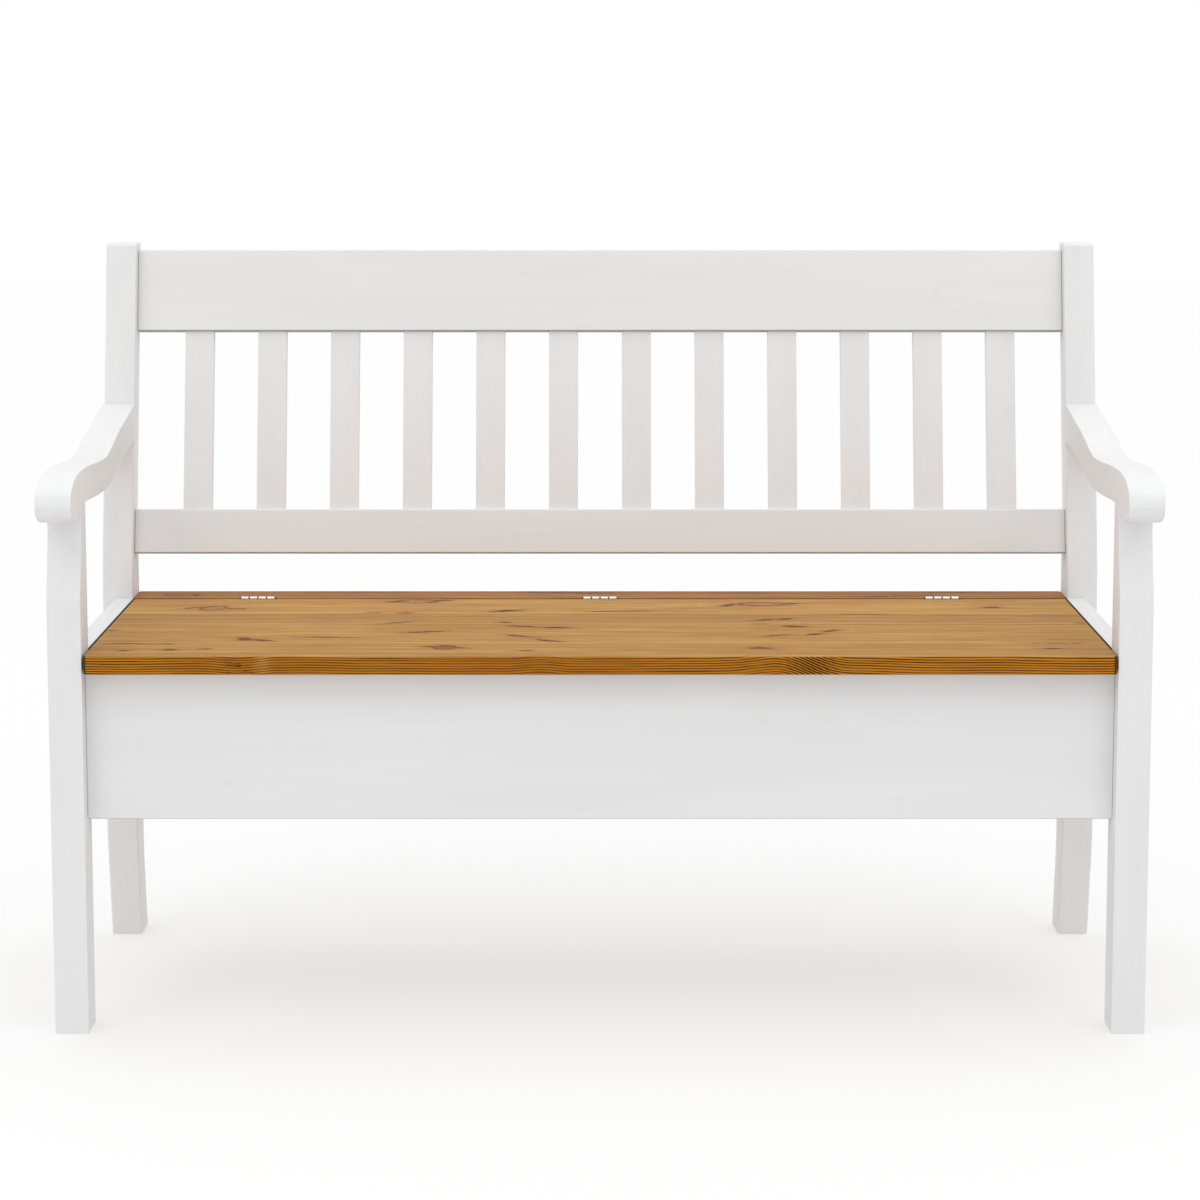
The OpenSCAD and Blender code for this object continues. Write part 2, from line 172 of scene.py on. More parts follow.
def lacquer(name, axis):
    """Satin white lacquer on pine, with the grain and a few knots just showing through."""
    s = Shader(name)
    tone = s.noise(along(s, axis, 420.0, 46.0), detail=3.0)
    streak = s.noise(along(s, axis, 150.0, 3.2), detail=3.0, roughness=0.6)
    fibre = s.noise(along(s, axis, 26.0, 0.8), detail=2.0)
    ghost = s.ease(s.noise(along(s, axis, 60.0, 34.0), detail=1.0), 0.70, 0.80)
    color = s.mix(s.ease(tone, 0.3, 0.7), (0.732, 0.733, 0.738), (0.757, 0.759, 0.765))
    color = s.mix(s.ease(streak, 0.35, 0.75, 0.0, 0.22), color, (0.690, 0.686, 0.682))
    color = s.mix(s.math("MULTIPLY", ghost, 0.22), color, (0.655, 0.640, 0.625))
    if axis == 0:
        # Painted shade: undersides and lower arrises are painted darker than the light alone makes them
        under = s.ease(s.split(s.normal)[2], -0.20, -0.75, 0.0, 0.85)
        color = s.mix(under, color, UNDERSIDE_SHADE)
    if axis == 1:
        # Painted shadow: a ragged dark line a few millimetres high, painted on the inner faces next to the
        # lid's ends for the shade in the gap
        x, _, z = s.split(s.place)
        inner = s.math("LESS_THAN", s.math("ABSOLUTE", x), GAP_SHADOW_X)
        ragged = s.math("MULTIPLY_ADD", tone, -4.0, z)
        low = s.ease(ragged, GAP_SHADOW_TOP - 7.5, GAP_SHADOW_TOP - 5.0)
        high = s.ease(z, GAP_SHADOW_TOP - 1.2, GAP_SHADOW_TOP - 0.6, 1.0, 0.0)
        line = s.math("MULTIPLY", s.math("MULTIPLY", inner, s.math("MULTIPLY", low, high)), 0.90)
        color = s.mix(line, color, GAP_SHADOW_COLOR)
    height = s.math("ADD", s.math("MULTIPLY", streak, 0.7), s.math("MULTIPLY", fibre, 0.3))
    rough = s.ease(streak, 0.2, 0.8, 0.42, 0.54)
    return s.finish(color, height, 0.10, 0.0006, rough, Specular_IOR_Level=0.12)


# Knots of the seat: x and y of the middle, half length, half width (mm), tilt (degrees)
RED_KNOTS = (
    (-495, 88, 18, 13, 40), (-237, 140, 26, 13, 0), (-185, -187, 14, 13, 0), (210, 119, 31, 14, 0))
STREAKS = (
    (-249, 53, 15, 8, 0), (-285, 56, 15, 4, 10), (-254, -19, 24, 5, 24), (-214, -83, 27, 6, 14),
    (-430, -133, 13, 10, -40), (-408, -140, 15, 7, -30), (-568, -162, 32, 5, 0), (-520, -163, 10, 4, 0),
    (-120, 68, 26, 7, 18), (-118, -16, 11, 4, 0), (-98, -45, 25, 6, -14), (-56, -54, 26, 6, 0),
    (-97, -112, 22, 5, -28), (-62, -142, 22, 5, -28), (-87, -208, 8, 4, 0), (165, 112, 16, 7, 35),
    (206, 2, 18, 5, 16), (233, 8, 14, 5, 20), (200, -27, 12, 4, 10), (240, -44, 18, 8, -16),
    (284, -76, 14, 5, 30), (262, -99, 13, 5, 20), (216, -107, 20, 5, 18), (190, -192, 18, 8, -12),
    (502, 94, 14, 5, 0), (547, -160, 26, 5, 0), (573, -158, 10, 5, 35), (542, -196, 18, 4, 0),
    (-566, -208, 8, 4, 0), (-512, -203, 11, 5, 0), (-600, -73, 8, 4, 0), (600, -23, 9, 6, 0),
    (-470, -197, 9, 3, 0), (330, 44, 40, 3, 0), (30, 66, 50, 3, 3), (-330, -120, 40, 3, -4),
    (-268, 137, 16, 5, 8), (-206, 148, 18, 5, 6), (248, 124, 18, 4, 0), (-206, -183, 13, 4, -6),
    (-165, -190, 12, 4, -8), (-520, 92, 18, 4, 30), (-466, 84, 16, 4, 0))
STRIP_KNOTS = ((-549, 191, 22, 9, 0), (-8, 206, 24, 6, 0), (412, 190, 24, 6, 0))
STRIP_STREAKS = ((-60, 214, 60, 5, 0), (-330, 216, 90, 4, 0), (362, 177, 40, 4, 0), (470, 213, 60, 4, 0),
                 (180, 205, 70, 3, 0))


def knot_field(s, x, y, knots):
    """Distance to the nearest knot, where 1 is its rim."""
    place = s.join(x, y, 1.0)
    nearest = None
    for at_x, at_y, half_length, half_width, tilt in knots:
        cosine = math.cos(math.radians(tilt))
        sine = math.sin(math.radians(tilt))
        along_it = Vector((cosine, sine, -at_x * cosine - at_y * sine)) / half_length
        across_it = Vector((-sine, cosine, at_x * sine - at_y * cosine)) / half_width
        u = s.vector("DOT_PRODUCT", place, along_it)
        v = s.vector("DOT_PRODUCT", place, across_it)
        away = s.math("MULTIPLY_ADD", u, u, s.math("MULTIPLY", v, v))
        nearest = away if nearest is None else s.math("MINIMUM", nearest, away)
    return s.math("SQRT", nearest)


def stained_pine(name, axis, boards, knots=None, dark_lines=(), tone=(1.0, 1.0, 1.0)):
    """Honey-stained, varnished pine. Rings are cylinders along the boards, one pith to each board.

    boards are (y of the front edge, tone, y of the pith) for each board of a panel, in mm.
    knots is a pair of lists: round knots and dark streaks. dark_lines are the y of arrises that are
    painted darker.
    """
    s = Shader(name)
    x, y, z = s.split(s.place)
    if axis == 1:
        x, y = y, x
    side = s.math("SUBTRACT", 1.0, s.math("ABSOLUTE", s.split(s.normal)[2]))
    side = s.ease(side, 0.25, 0.75)
    flat = s.math("SUBTRACT", 1.0, side)

    # Which board of the panel, with its own tone and pith
    _, level, pith_y = boards[0]
    board = 11.0 + axis
    for before, this in zip(boards, boards[1:]):
        beyond = s.math("GREATER_THAN", y, this[0])
        board = s.math("ADD", board, beyond)
        level = s.math("MULTIPLY_ADD", beyond, this[1] - before[1], level)
        pith_y = s.math("MULTIPLY_ADD", beyond, this[2] - before[2], pith_y)
    lane = s.math("MULTIPLY", board, 137.0)

    # Slow wander of the grain, a different one in each board, and a fine ripple
    wander = s.noise(s.join(s.math("MULTIPLY", x, 1 / 420.0), s.math("MULTIPLY", y, 1 / 120.0), lane))
    ripple = s.noise(s.join(s.math("MULTIPLY", x, 1 / 55.0), s.math("MULTIPLY", y, 1 / 12.0),
                            s.math("MULTIPLY", z, 1 / 12.0)))
    rise = s.math("MULTIPLY", s.math("SUBTRACT", wander, 0.5), 22.0)
    if knots:
        coarse = s.noise(s.stretch(s.place, 1 / 16.0, 1 / 5.0, 1 / 5.0), detail=3.0, roughness=0.6)
        fine = s.noise(s.stretch(s.place, 1 / 7.0, 1 / 3.0, 1 / 3.0), detail=2.0)
        shake = s.math("MULTIPLY", s.math("SUBTRACT", coarse, 0.5), 3.0)
        shake = s.math("MULTIPLY_ADD", s.math("SUBTRACT", fine, 0.5), 1.4, shake)
        red_away, dark_away = knot_field(s, x, y, knots[0]), knot_field(s, x, y, knots[1])
        red = s.math("MULTIPLY_ADD", shake, 0.35, red_away)
        dark = s.math("MULTIPLY_ADD", shake, 0.80, dark_away)
        nearest = s.math("MINIMUM", red_away, dark_away)
        rise = s.math("ADD", rise, s.ease(nearest, 0.2, 3.4, 7.0, 0.0))

    # Rings round the pith, as a slow darkening to a sharp dark line
    off_y = s.math("SUBTRACT", y, pith_y)
    off_z = s.math("SUBTRACT", s.math("ADD", z, rise), PITH_Z)
    ring = s.math("SQRT", s.math("MULTIPLY_ADD", off_y, off_y, s.math("MULTIPLY", off_z, off_z)))
    ring = s.math("MULTIPLY_ADD", ripple, 1.6, ring)
    uneven = s.noise(s.join(s.math("MULTIPLY", ring, 1 / 5.0), s.math("MULTIPLY", x, 1 / 900.0), lane))
    ring = s.math("MULTIPLY_ADD", uneven, 2.2, ring)
    if knots:
        # The rings bend where they pass the knots of the front edge
        front = s.ease(y, FRONT_EDGE + 2.0, FRONT_EDGE + 22.0, 1.0, 0.0)
        dive = s.ease(x, 204.0, 294.0, 0.0, 23.0)
        dive = s.math("MULTIPLY_ADD", s.bell(x, 210.0, 60.0), -4.0, dive)
        swirl = s.math("MULTIPLY", s.bell(x, -425.0, 44.0), 2.4)
        swirl = s.math("MULTIPLY_ADD", s.bell(x, -70.0, 44.0), -2.6, swirl)
        ring = s.math("MULTIPLY_ADD", s.math("ADD", dive, swirl), front, ring)
    turn = s.math("FRACT", s.math("DIVIDE", ring, RING_GAP))
    late = s.math("POWER", s.ease(turn, 0.22, 0.72), 1.3)
    late = s.math("MULTIPLY", late, s.ease(turn, 1.0, 0.90))
    depth = s.noise(s.join(s.math("MULTIPLY", s.math("SUBTRACT", ring, turn), 1 / 3.0),
                           s.math("MULTIPLY", x, 1 / 70.0), lane))
    late = s.math("MULTIPLY", late, s.ease(depth, 0.3, 0.6, 0.65, 1.0))

    fibre = s.noise(s.join(s.math("MULTIPLY", x, 1 / 60.0), s.math("MULTIPLY", y, 1 / 1.3),
                           s.math("MULTIPLY", z, 1 / 1.3)), detail=3.0, roughness=0.65)
    band = s.noise(s.join(s.math("MULTIPLY", x, 1 / 260.0), s.math("MULTIPLY", y, 1 / 13.0), lane),
                   detail=3.0, roughness=0.6)
    cloud = s.noise(s.join(s.math("MULTIPLY", x, 1 / 150.0), s.math("MULTIPLY", y, 1 / 55.0), lane))
    streak = s.noise(s.join(s.math("MULTIPLY", x, 1 / 95.0), s.math("MULTIPLY", y, 1 / 6.0), lane),
                     detail=3.0, roughness=0.6)

    color = s.mix(s.ease(band, 0.32, 0.70), FACE_LIGHT, FACE_DEEP)
    color = s.mix(s.ease(cloud, 0.42, 0.70, 0.0, 0.55), color, FACE_WARM)
    color = s.mix(s.ease(streak, 0.54, 0.72, 0.0, 0.55), color, FACE_LATE)
    color = s.mix(s.ease(streak, 0.46, 0.34, 0.0, 0.40), color, FACE_PALE)
    color = s.mix(s.math("MULTIPLY", late, 0.38), color, FACE_LATE)
    edge = s.mix(s.math("MULTIPLY", late, 0.95), EDGE_EARLY, EDGE_LATE)
    edge = s.mix(s.ease(cloud, 0.35, 0.7, 0.0, 0.40), edge, EDGE_DEEP)
    color = s.mix(side, color, edge)
    color = s.mix(s.ease(fibre, 0.52, 0.82, 0.0, 0.34), color, FIBRE)
    height = s.math("MULTIPLY_ADD", late, -0.5, s.math("MULTIPLY", fibre, 0.5))
    if knots:
        def stain(value, amount, tint, where=flat):
            return s.mix(s.math("MULTIPLY", s.math("MULTIPLY", value, amount), where), color, tint)

        color = stain(s.ease(nearest, 1.0, 2.6, 1.0, 0.0), 0.30, KNOT_HALO)
        color = stain(s.ease(red, 1.1, 0.7), 0.75, KNOT_HEART)
        heart = s.math("MULTIPLY", s.ease(red, 1.1, 0.7), s.bell(x, -185.0, 60.0))
        color = stain(heart, 0.95, HEARTWOOD)
        rings = s.ease(s.math("SINE", s.math("MULTIPLY", red, 14.0)), 0.0, 0.9)
        color = stain(s.math("MULTIPLY", rings, s.ease(red, 1.0, 0.8)), 0.40, KNOT_RIM)
        rim = s.math("MULTIPLY", s.bell(red, 1.0, 0.36), s.ease(coarse, 0.36, 0.56, 0.25, 1.0))
        color = stain(rim, 0.95, KNOT_RIM)
        color = stain(s.ease(dark, 1.6, 0.8), 0.60, KNOT_HALO)
        color = stain(s.ease(dark, 1.0, 0.45), 0.92, KNOT_RIM)
        burl = s.math("MULTIPLY", s.bell(x, 250.0, 46.0), front)
        color = stain(s.math("MULTIPLY", burl, s.ease(turn, 0.25, 0.6, 0.1, 1.0)), 1.0, EDGE_LATE, side)
        spot = s.math("MULTIPLY", s.bell(x, -425.0, 30.0), s.ease(coarse, 0.50, 0.62))
        color = stain(spot, 0.85, EDGE_LATE, side)
        pale = s.math("MULTIPLY", s.bell(x, -396.0, 16.0), s.ease(turn, 0.8, 0.3, 0.2, 1.0))
        color = stain(pale, 0.40, FACE_LIGHT, side)
        height = s.math("ADD", height, s.ease(nearest, 0.6, 1.3, 0.35, 0.0))
    for joint, _, _ in boards[1:]:
        seam = s.math("MULTIPLY", s.bell(y, joint - 2.0, 3.0), s.ease(cloud, 0.35, 0.6, 0.3, 0.9))
        glow = s.math("MULTIPLY", s.bell(y, joint + 4.0, 6.0), 0.5)
        color = s.mix(s.math("MULTIPLY", seam, flat), color, FACE_LATE)
        color = s.mix(s.math("MULTIPLY", glow, flat), color, FACE_PALE)
        height = s.math("MULTIPLY_ADD", seam, -0.5, height)
    # The arrises at dark_lines are darkened with the end-grain colour
    for line in dark_lines:
        darker_arris = s.math("MULTIPLY", s.bell(y, line, 4.0), s.ease(streak, 0.35, 0.6, 0.45, 0.95))
        color = s.mix(s.math("MULTIPLY", darker_arris, s.ease(side, 0.0, 1.0, 1.0, 0.15)), color, END_GRAIN)
    # End grain is darker than the sides, and its arris darkest
    end = s.math("ABSOLUTE", s.split(s.normal)[axis])
    color = s.mix(s.ease(end, 0.6, 0.9, 0.0, 0.75), color, END_GRAIN)
    color = s.mix(s.math("MULTIPLY", s.bell(end, 0.55, 0.45), 0.9), color, ARRIS)
    color = s.mix(1.0, color, s.join(level, level, level), "MULTIPLY")
    color = s.mix(1.0, color, tone, "MULTIPLY")
    rough = s.ease(late, 0.0, 1.0, 0.58, 0.46)
    return s.finish(color, height, 0.25, 0.0007, rough, Specular_IOR_Level=0.07)


def bare_wood(name, axis, light, deep):
    """Bare timber for the bottom panel and the dowels."""
    s = Shader(name)
    band = s.noise(along(s, axis, 300.0, 11.0), detail=3.0)
    fibre = s.noise(along(s, axis, 30.0, 0.9), detail=3.0)
    color = s.mix(s.ease(band, 0.35, 0.7), light, deep)
    color = s.mix(s.ease(fibre, 0.5, 0.8, 0.0, 0.3), color, deep)
    return s.finish(color, fibre, 0.3, 0.0006, s.ease(fibre, 0.3, 0.7, 0.55, 0.7),
                    Specular_IOR_Level=0.4)


def metal(name, color, deep, roughness, knuckles=None):
    """Plated steel with fine drawn lines and a little tarnish.

    knuckles is (distance of the outer hinges from the middle, knuckle length, height above which the
    barrels are) in mm: the ends of each knuckle are darkened with painted shade for the gaps between
    knuckles.
    """
    s = Shader(name)
    drawn = s.noise(along(s, 0, 9.0, 0.25), detail=3.0)
    tarnish = s.noise(s.stretch(s.place, 0.22, 0.22, 0.22), detail=3.0)
    tint = s.mix(s.ease(tarnish, 0.4, 0.75, 0.0, 0.6), color, deep)
    if knuckles:
        # Painted shade in the gaps between knuckles: each barrel darkens towards its ends
        out = s.math("ABSOLUTE", s.split(s.place)[0])
        out = s.math("MINIMUM", out, s.math("ABSOLUTE", s.math("SUBTRACT", out, knuckles[0])))
        turn = s.math("FRACT", s.math("DIVIDE", out, knuckles[1]))
        barrel = s.math("GREATER_THAN", s.split(s.place)[2], knuckles[2])
        end = s.math("MULTIPLY", s.math("MINIMUM", turn, s.math("SUBTRACT", 1.0, turn)), knuckles[1])
        end = s.math("MULTIPLY", s.ease(end, 0.5, 1.5, 0.92, 0.0), barrel)
        tint = s.mix(end, tint, (0.04, 0.035, 0.03))
    rough = s.ease(drawn, 0.3, 0.7, roughness - 0.05, roughness + 0.08)
    return s.finish(tint, drawn, 0.12, 0.0002, rough, Metallic=1.0)


def floor_paint():
    """Matt floor: a grey with a glow of its own, which together come close to white."""
    s = Shader("floor_paper")
    grain = s.noise(s.stretch(s.place, 0.4, 0.4, 0.4), detail=2.0)
    color = s.mix(grain, (0.35, 0.35, 0.35), (0.36, 0.36, 0.36))
    s.put(s.bsdf.inputs["Emission Color"], (1.0, 1.0, 1.0, 1.0))
    return s.finish(color, grain, 0.05, 0.0005, 0.75, Specular_IOR_Level=0.1, Emission_Strength=0.55)


FACE_PALE = (0.590, 0.350, 0.125)
FACE_LIGHT = (0.500, 0.276, 0.078)
FACE_DEEP = (0.345, 0.176, 0.038)
FACE_WARM = (0.390, 0.182, 0.043)
FACE_LATE = (0.255, 0.112, 0.019)
EDGE_EARLY = (0.490, 0.188, 0.014)
EDGE_LATE = (0.012, 0.002, 0.0002)
EDGE_DEEP = (0.250, 0.080, 0.005)
END_GRAIN = (0.085, 0.032, 0.008)
ARRIS = (0.025, 0.010, 0.004)
FIBRE = (0.220, 0.092, 0.016)
KNOT_HEART = (0.400, 0.175, 0.070)
HEARTWOOD = (0.300, 0.070, 0.016)
KNOT_RIM = (0.065, 0.018, 0.005)
KNOT_HALO = (0.330, 0.140, 0.034)
RING_GAP = 3.0
PITH_Z = 355.0
FRONT_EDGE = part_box("seat_lid")[0][1] / MM
LID_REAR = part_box("seat_lid")[1][1] / MM
STRIP_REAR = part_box("hinge_rail")[1][1] / MM
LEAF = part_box("hinge_lid_leaf_right")
KNUCKLES_TO_A_LEAF = 4
BARREL_DROP = 5.3
KNUCKLES = ((LEAF[0][0] + LEAF[1][0]) / 2 / MM, (LEAF[1][0] - LEAF[0][0]) / MM / KNUCKLES_TO_A_LEAF,
            LEAF[1][2] / MM - BARREL_DROP)
BOARDS = ((FRONT_EDGE, 1.0, -228.0), (-161.0, 1.03, -70.0), (-27.0, 0.94, 30.0), (48.0, 1.15, 120.0))

LACQUER = [lacquer(f"white_lacquer_{'xyz'[axis]}", axis) for axis in range(3)]
SEAT = stained_pine("stained_pine_seat", 0, BOARDS, (RED_KNOTS, STREAKS), (LID_REAR - 1.0,))
STRIP = stained_pine("stained_pine_strip", 0, ((LID_REAR, 1.0, 150.0),), (STRIP_KNOTS, STRIP_STREAKS),
                     (LID_REAR + 2.0, STRIP_REAR - 1.0), (0.90, 0.71, 0.55))
BATTEN = stained_pine("stained_pine_batten", 1, ((0.0, 1.0, 0.0),))
PANEL = bare_wood("bare_pine_panel", 0, (0.62, 0.45, 0.27), (0.46, 0.29, 0.14))
BEECH = bare_wood("bare_beech", 1, (0.60, 0.42, 0.26), (0.50, 0.33, 0.19))
NICKEL = metal("nickel", (0.80, 0.785, 0.75), (0.60, 0.58, 0.54), 0.26, KNUCKLES)
PIN_STEEL = metal("pin_steel", (0.16, 0.155, 0.15), (0.09, 0.085, 0.08), 0.45)
ZINC = metal("zinc", (0.72, 0.72, 0.70), (0.50, 0.50, 0.49), 0.34)


# ---- mesh helpers ----

SAME_PLACE = 1e-6
IN_PLANE = 2e-5
STRAIGHT = math.radians(0.3)
SHARP_EDGE = math.radians(25)
SMOOTH_ANGLE = math.radians(28.0)
EDGE_STEPS = 3
CORNER_STEPS = 5

def outline(node, x):
    """The (y, z) outline of a CAD node's largest face in the plane at x."""
    mesh = bmesh.new()
    mesh.from_mesh(nodes[node].data)
    bmesh.ops.remove_doubles(mesh, verts=mesh.verts, dist=SAME_PLACE)
    flat = {f for f in mesh.faces if all(abs(v.co.x - x) < IN_PLANE for v in f.verts)}
    step = {}
    for face in flat:
        for loop in face.loops:
            if not any(f is not face and f in flat for f in loop.edge.link_faces):
                step.setdefault(loop.vert.index, []).append(loop.link_loop_next.vert.index)
    where = {v.index: (v.co.y, v.co.z) for v in mesh.verts}
    mesh.free()
    loops = []
    while any(step.values()):
        at = start = next(k for k, v in step.items() if v)
        ring = []
        while step.get(at):
            ring.append(where[at])
            at = step[at].pop()
            if at == start:
                break
        loops.append(ring)
    return max(loops, key=lambda ring: abs(area(ring)))


def area(ring):
    """Signed area of a closed outline."""
    pairs = zip(ring, ring[1:] + ring[:1])
    return sum(a[0] * b[1] - b[0] * a[1] for a, b in pairs) / 2


def tidy(ring):
    """Drops the points of a closed outline that lie on a straight stretch."""
    kept = []
    for i, point in enumerate(ring):
        a = Vector(point) - Vector(ring[i - 1])
        b = Vector(ring[(i + 1) % len(ring)]) - Vector(point)
        if a.length > SAME_PLACE and b.length > SAME_PLACE and a.angle(b) > STRAIGHT:
            kept.append(point)
    return kept


def box_outline(node):
    low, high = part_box(node)
    return [(low[1], low[2]), (high[1], low[2]), (high[1], high[2]), (low[1], high[2])]


def add_object(name, mesh, material, body):
    data = bpy.data.meshes.new(name)
    mesh.to_mesh(data)
    mesh.free()
    data.materials.append(material)
    piece = bpy.data.objects.new(name, data)
    bpy.context.scene.collection.objects.link(piece)
    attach(piece, body)
    return piece


def prism(name, ring, x0, x1, ease, material, body="frame", corner=0):
    """A closed prism on a (y, z) outline from x0 to x1, its sharp edges rounded to radius ease.

    corner is a larger radius for the two upright edges at the front.
    """
    mesh = bmesh.new()
    near = [mesh.verts.new((x0, y, z)) for y, z in ring]
    far = [mesh.verts.new((x1, y, z)) for y, z in ring]
    mesh.faces.new(near)
    mesh.faces.new(far[::-1])
    for i in range(len(ring)):
        j = (i + 1) % len(ring)
        mesh.faces.new((near[i], far[i], far[j], near[j]))
    bmesh.ops.recalc_face_normals(mesh, faces=mesh.faces)
    if corner:
        front = min(y for y, _ in ring)
        upright = [e for e in mesh.edges if all(abs(v.co.y - front) < SAME_PLACE for v in e.verts)
                   and abs(e.verts[0].co.x - e.verts[1].co.x) < SAME_PLACE]
        bmesh.ops.bevel(mesh, geom=upright, offset=corner, offset_type="OFFSET", segments=CORNER_STEPS,
                        profile=0.5, affect="EDGES", clamp_overlap=True)
    mesh.normal_update()
    sharp = [e for e in mesh.edges if e.calc_face_angle(0.0) > SHARP_EDGE]
    bmesh.ops.bevel(mesh, geom=sharp, offset=ease, offset_type="OFFSET", segments=EDGE_STEPS,
                    profile=0.5, affect="EDGES", clamp_overlap=True)
    return add_object(name, mesh, material, body)


def shade(piece):
    """Smooth shading with flat faces kept flat."""
    data = piece.data
    data.polygons.foreach_set("use_smooth", [True] * len(data.polygons))
    data.set_sharp_from_angle(angle=SMOOTH_ANGLE)
    weigh = piece.modifiers.new("weighted_normals", "WEIGHTED_NORMAL")
    weigh.keep_sharp = True


def cut(piece, boxes):
    """Cuts boxes, each given by its 8 corners, out of a piece."""
    mesh = bmesh.new()
    for box in boxes:
        points = [mesh.verts.new(corner) for corner in box]
        for quad in ((0, 1, 3, 2), (4, 6, 7, 5), (0, 4, 5, 1), (2, 3, 7, 6), (0, 2, 6, 4), (1, 5, 7, 3)):
            mesh.faces.new([points[i] for i in quad])
    bmesh.ops.recalc_face_normals(mesh, faces=mesh.faces)
    cutter = bpy.data.objects.new("cutter", bpy.data.meshes.new("cutter"))
    mesh.to_mesh(cutter.data)
    mesh.free()
    bpy.context.scene.collection.objects.link(cutter)
    trim = piece.modifiers.new("trim", "BOOLEAN")
    trim.operation = "DIFFERENCE"
    trim.solver = "EXACT"
    trim.use_self = True
    trim.object = cutter
    bpy.context.view_layer.update()
    result = bpy.data.meshes.new_from_object(piece.evaluated_get(bpy.context.evaluated_depsgraph_get()))
    piece.modifiers.clear()
    spent = [piece.data, cutter.data]
    piece.data = result
    bpy.data.objects.remove(cutter)
    for data in spent:
        bpy.data.meshes.remove(data)


def corners(x, ring):
    """The 8 corners of a box between two values of x, on a 4-point (y, z) outline."""
    a, b, c, d = ring
    return [(x[0], *a), (x[0], *b), (x[0], *d), (x[0], *c), (x[1], *a), (x[1], *b), (x[1], *d), (x[1], *c)]


def stand_for(piece, node):
    """Shades a piece and puts it in the place of its CAD node."""
    shade(piece)
    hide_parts(node)


# ---- side frames ----

# Edge radius and grain axis of each kind of piece
EASE = {"front_leg": 2.2 * MM, "rear_post": 2.5 * MM, "armrest": 4.0 * MM}
GRAIN = {"front_leg": 2, "rear_post": 2, "armrest": 1}
for side in SIDES:
    for kind in SIDE_FRAME:
        node = f"{kind}_{side}"
        low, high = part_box(node)
        outside = high[0] if side == "right" else low[0]
        stand_for(prism(f"{node}_shaped", tidy(outline(node, outside)), low[0], high[0], EASE[kind],
                        LACQUER[GRAIN[kind]]), node)

# ---- box ----

def board(node, ease, material, body="frame", slot="white_lacquer", corner=0):
    """A straight board on the box of its CAD node."""
    low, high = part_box(node)
    ring = box_outline(node)
    return prism(f"{node}_shaped", ring, low[0], high[0], ease, material, body, corner=corner)


for node in ("front_board", "rear_board", "cleat_front", "cleat_rear"):
    stand_for(board(node, 1.5 * MM, LACQUER[0]), node)
for side in SIDES:
    stand_for(board(f"side_board_{side}", 2.0 * MM, LACQUER[1]), f"side_board_{side}")
    stand_for(board(f"cleat_{side}", 1.5 * MM, LACQUER[1]), f"cleat_{side}")
    for place in ("front", "rear"):
        node = f"corner_block_{place}_{side}"
        stand_for(board(node, 2.0 * MM, LACQUER[2]), node)
stand_for(board("bottom_panel", 0.6 * MM, PANEL, slot="panel_pine"), "bottom_panel")

# ---- back ----

SLAT_PLAY = 0.8 * MM


def slat_cutter(node):
    """The space a slat takes in its rails, a little wider than the slat."""
    low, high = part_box(node)
    ring = tidy(outline(node, high[0]))
    return corners((low[0] - SLAT_PLAY, high[0] + SLAT_PLAY), ring)


for node in SLATS:
    low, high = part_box(node)
    stand_for(prism(f"{node}_shaped", tidy(outline(node, high[0])), low[0], high[0], 1.6 * MM,
                    LACQUER[2]), node)
post_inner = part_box("rear_post_right")[0][0]
for node in ("top_rail", "lower_rail"):
    rail = prism(f"{node}_shaped", tidy(outline(node, post_inner)), -post_inner, post_inner,
                 2.4 * MM, LACQUER[0])
    cut(rail, [slat_cutter(slat) for slat in SLATS])
    stand_for(rail, node)

# ---- seat ----

# Notches for the barrels and beds for the leaves. Both start CUT_ABOVE over the leaf: a notch goes
# NOTCH_DROP down from there, and a bed ends BED_BELOW under the leaf.
CUT_ABOVE = 2 * MM
NOTCH_PLAY = 1.6 * MM
NOTCH_DEPTH = 3.2 * MM
NOTCH_DROP = 8.4 * MM
BED_HALF = 23.1 * MM
BED_DEPTH = 1.7 * MM
BED_BELOW = 0.2 * MM
LID_CORNER = 5.0 * MM


def hinge_cutters(direction):
    """Notches for the barrels and beds for the leaves: -1 for the lid, 1 for the hinge rail."""
    boxes = []
    leaf_kind = "lid" if direction < 0 else "frame"
    for third in THIRDS:
        leaf_low, leaf_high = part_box(f"hinge_{leaf_kind}_leaf_{third}")
        pin_low, pin_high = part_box(f"hinge_pin_{third}")
        axis_y = (pin_low[1] + pin_high[1]) / 2
        top = leaf_high[2] + CUT_ABOVE
        middle = (leaf_low[0] + leaf_high[0]) / 2
        half_notch = (pin_high[0] - pin_low[0]) / 2 + NOTCH_PLAY
        for half, depth, bottom in ((half_notch, NOTCH_DEPTH, top - NOTCH_DROP),
                                    (BED_HALF, BED_DEPTH, leaf_low[2] - BED_BELOW)):
            y0, y1 = sorted((axis_y, axis_y + direction * depth))
            ring = [(y0, bottom), (y1, bottom), (y1, top), (y0, top)]
            boxes.append(corners((middle - half, middle + half), ring))
    return boxes


for node, body, direction, ease, wood in (("seat_lid", "lid", -1, 2.0 * MM, SEAT),
                                          ("hinge_rail", "frame", 1, 1.6 * MM, STRIP)):
    piece = board(node, ease, wood, body, "stained_pine", LID_CORNER if node == "seat_lid" else 0)
    cut(piece, hinge_cutters(direction))
    stand_for(piece, node)
for third in THIRDS:
    node = f"lid_batten_{third}"
    stand_for(board(node, 2.5 * MM, BATTEN, "lid", "stained_pine"), node)

# ---- fittings that keep their CAD shape ----

for node, piece in nodes.items():
    for part, material in (("dowels", BEECH), ("screws", ZINC), ("_leaf_", NICKEL), ("_pin_", PIN_STEEL)):
        if part in node:
            piece.data.materials.clear()
            piece.data.materials.append(material)

# ---- stage, light and camera ----

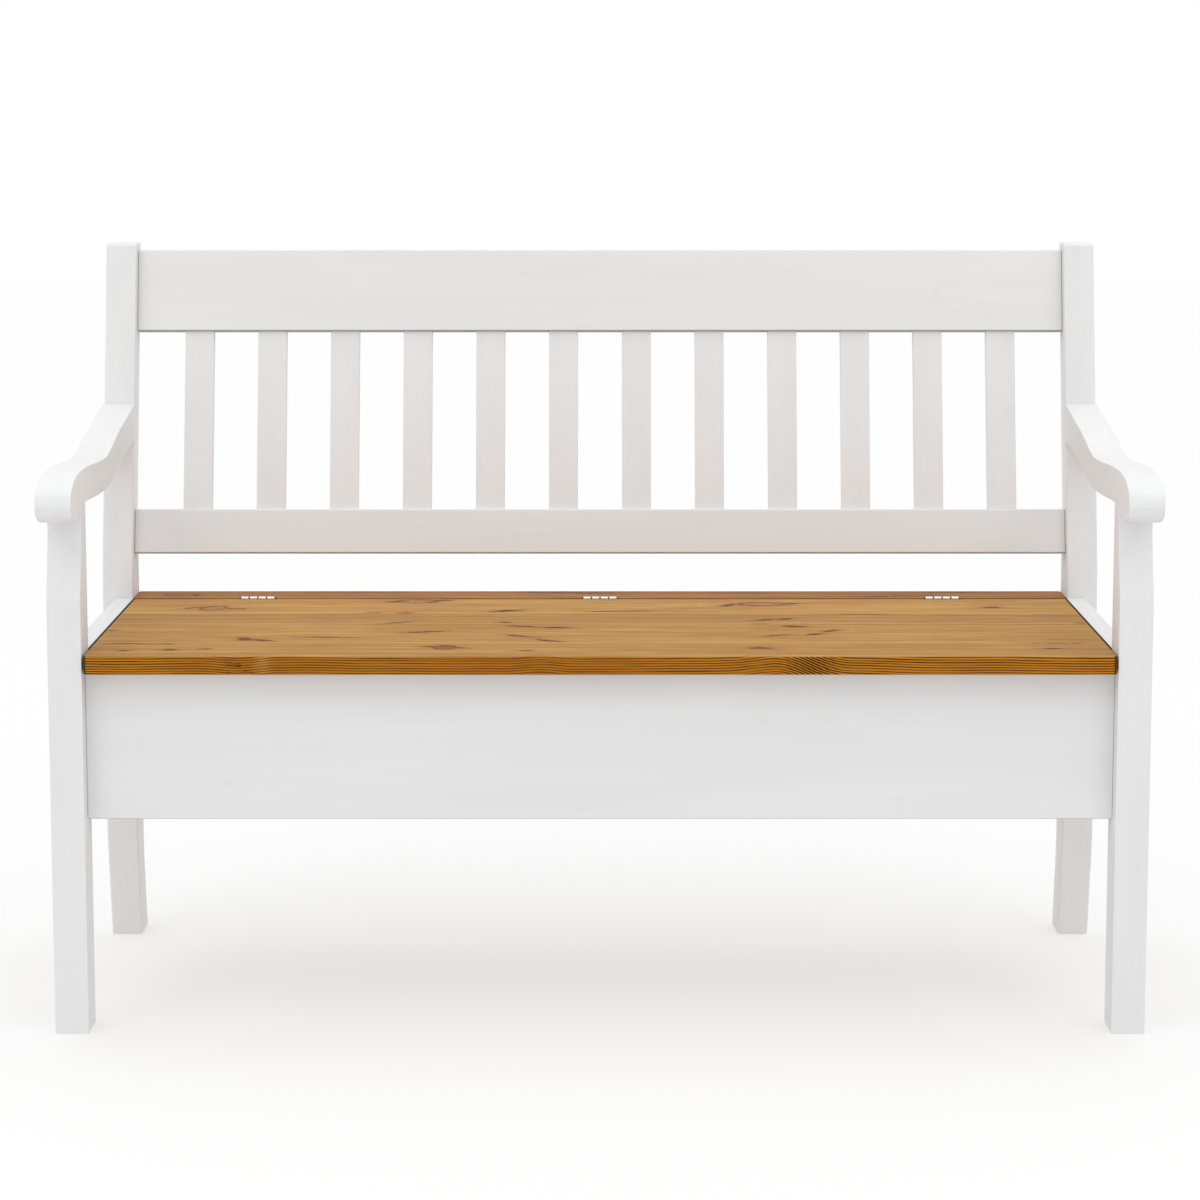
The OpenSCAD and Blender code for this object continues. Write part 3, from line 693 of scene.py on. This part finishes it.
FLOOR_HALF = 14.0
stage = bpy.data.meshes.new("floor")
floor_corners = [(-FLOOR_HALF, -FLOOR_HALF, 0), (FLOOR_HALF, -FLOOR_HALF, 0),
                 (FLOOR_HALF, FLOOR_HALF, 0), (-FLOOR_HALF, FLOOR_HALF, 0)]
stage.from_pydata(floor_corners, [], [(0, 1, 2, 3)])
stage.materials.append(floor_paint())
floor = bpy.data.objects.new("floor", stage)
bpy.context.scene.collection.objects.link(floor)


def softbox(name, place, target, size, power):
    """A round area light at place, facing target."""
    data = bpy.data.lights.new(name, "AREA")
    data.shape = "DISK"
    data.size = size
    data.energy = power
    lamp = bpy.data.objects.new(name, data)
    lamp.location = place
    lamp.rotation_euler = (Vector(target) - Vector(place)).to_track_quat("-Z", "Y").to_euler()
    bpy.context.scene.collection.objects.link(lamp)


# Two soft lights in front and above, one on each side: x of each and its watts
KEYS = {"right": (2.4, 13.0), "left": (-2.4, 16.0)}
KEY_Y = -2.6
KEY_Z = 3.6
KEY_SIZE = 1.8
KEY_TARGET = (0, 0, 0.5)
for side, (key_x, power) in KEYS.items():
    softbox(f"key_{side}", (key_x, KEY_Y, KEY_Z), KEY_TARGET, KEY_SIZE, power)

# White round the horizon, dimmer above it and brighter overhead: (sine of the elevation, level)
DOME = ((0.0, 1.0), (0.14, 1.0), (0.30, 0.86), (0.72, 0.86), (0.92, 1.80))
world = bpy.data.worlds.new("studio")
bpy.context.scene.world = world
world.use_nodes = True
sky = world.node_tree
background = sky.nodes["Background"]
direction = sky.nodes.new("ShaderNodeTexCoord")
elevation = sky.nodes.new("ShaderNodeSeparateXYZ")
ramp = sky.nodes.new("ShaderNodeValToRGB")
sky.links.new(direction.outputs["Generated"], elevation.inputs[0])
sky.links.new(elevation.outputs["Z"], ramp.inputs["Fac"])
stops = ramp.color_ramp.elements
for _ in range(len(DOME) - len(stops)):
    stops.new(0.5)
for stop, (rise, level) in zip(stops, DOME):
    stop.position = rise
    stop.color = (level, level, level, 1.0)
sky.links.new(ramp.outputs["Color"], background.inputs["Color"])

LENS_PER_WIDTH = 3063.0 / 1200.0
SENSOR_WIDTH = 36.0
CAMERA_SHIFT = -0.12
CAMERA_PLACE = (0.0, -3.786, 1.125)
CAMERA_TILT = 6.91
camera_data = bpy.data.cameras.new("camera")
camera_data.sensor_width = SENSOR_WIDTH
camera_data.lens = LENS_PER_WIDTH * camera_data.sensor_width
camera_data.shift_y = CAMERA_SHIFT
camera = bpy.data.objects.new("camera", camera_data)
camera.location = CAMERA_PLACE
camera.rotation_euler = (math.radians(90.0 - CAMERA_TILT), 0.0, 0.0)
bpy.context.scene.collection.objects.link(camera)
bpy.context.scene.camera = camera
bpy.context.scene.view_settings.view_transform = "Standard"
